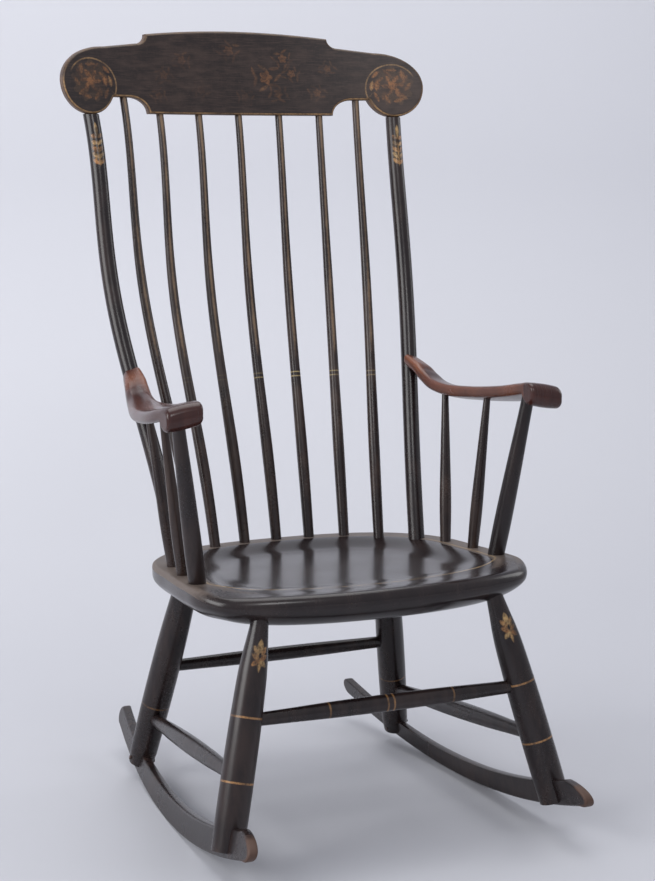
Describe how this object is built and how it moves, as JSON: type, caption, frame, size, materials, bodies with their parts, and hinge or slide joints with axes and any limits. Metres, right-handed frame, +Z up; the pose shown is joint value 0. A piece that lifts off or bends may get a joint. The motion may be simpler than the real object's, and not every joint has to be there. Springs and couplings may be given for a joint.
{
  "type": "boston rocking chair",
  "caption": "Painted rocking chair with a dished plank seat, tall spindle back under a wide crest rail, rolled arms and legs forked over two thin rockers.",
  "frame": {"origin": "on the floor under the middle of the chair's bounding box", "axes": "+X to the right seen from the front, +Y to the back (the sitter faces -Y), +Z up"},
  "size_m": [0.562, 0.672, 1.08],
  "materials": {
    "black_paint": "old near-black paint, satin, rubbed brown at the edges, fine gold rings",
    "worn_paint": "near-black paint worn to brown streaks, satin, fine gold rings",
    "seat_paint": "near-black paint polished by use, with a thin gold line inside the rim",
    "crest_paint": "near-black paint with gold lines and worn bronze ornament",
    "arm_wood": "bare red-brown wood under old varnish, satin"
  },
  "bodies": {
    "root": {"seat": "seat_paint", "crest_rail": "crest_paint", "back_spindle_1": "worn_paint", "back_spindle_2": "worn_paint", "back_spindle_3": "worn_paint", "back_spindle_4": "worn_paint", "back_spindle_5": "worn_paint", "back_spindle_6": "worn_paint", "back_spindle_7": "worn_paint", "back_post_right": "black_paint", "back_post_left": "black_paint", "arm_right": "arm_wood", "arm_left": "arm_wood", "arm_spindle_rear_right": "worn_paint", "arm_spindle_rear_left": "worn_paint", "arm_spindle_front_right": "worn_paint", "arm_spindle_front_left": "worn_paint", "arm_post_right": "black_paint", "arm_post_left": "black_paint", "leg_front_right": "black_paint", "leg_front_left": "black_paint", "leg_rear_right": "black_paint", "leg_rear_left": "black_paint", "side_stretcher_right": "black_paint", "side_stretcher_left": "black_paint", "rocker_right": "black_paint", "rocker_left": "black_paint", "rocker_pin_front_right": "black_paint", "rocker_pin_front_left": "black_paint", "rocker_pin_rear_right": "black_paint", "rocker_pin_rear_left": "black_paint", "front_stretcher": "black_paint", "rear_stretcher": "black_paint"}
  },
  "joints": []
}
